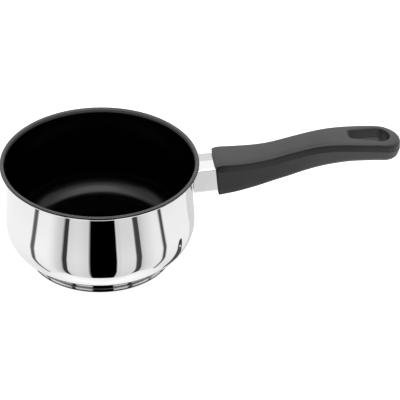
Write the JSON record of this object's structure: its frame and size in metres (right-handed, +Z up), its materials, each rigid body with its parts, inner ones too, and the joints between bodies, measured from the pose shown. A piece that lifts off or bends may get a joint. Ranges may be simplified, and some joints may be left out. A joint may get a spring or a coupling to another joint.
{
  "type": "milk pan",
  "caption": "Small bellied saucepan with a pouring rim, a non-stick lining, a layered base, a steel flame guard and a moulded handle with a hanging hole.",
  "frame": {"origin": "centre of the base's flat underside, on the bowl's axis", "axes": "+Z up out of the bowl, +X along the handle, away from the bowl"},
  "size_m": [0.3039, 0.15, 0.0901],
  "materials": {
    "polished_steel": "mirror polished",
    "nonstick_coating": "satin",
    "aluminium": "polished",
    "phenolic": "satin",
    "plated_steel": "satin"
  },
  "bodies": {
    "root": {"vessel": "polished_steel", "nonstick_lining": "nonstick_coating", "heat_spreader_disc": "aluminium", "base_cap": "polished_steel", "flame_guard": "polished_steel", "handle": "phenolic", "handle_bracket": "plated_steel", "bracket_nut": "plated_steel", "handle_screw": "plated_steel", "spring_washer": "plated_steel"}
  },
  "joints": []
}
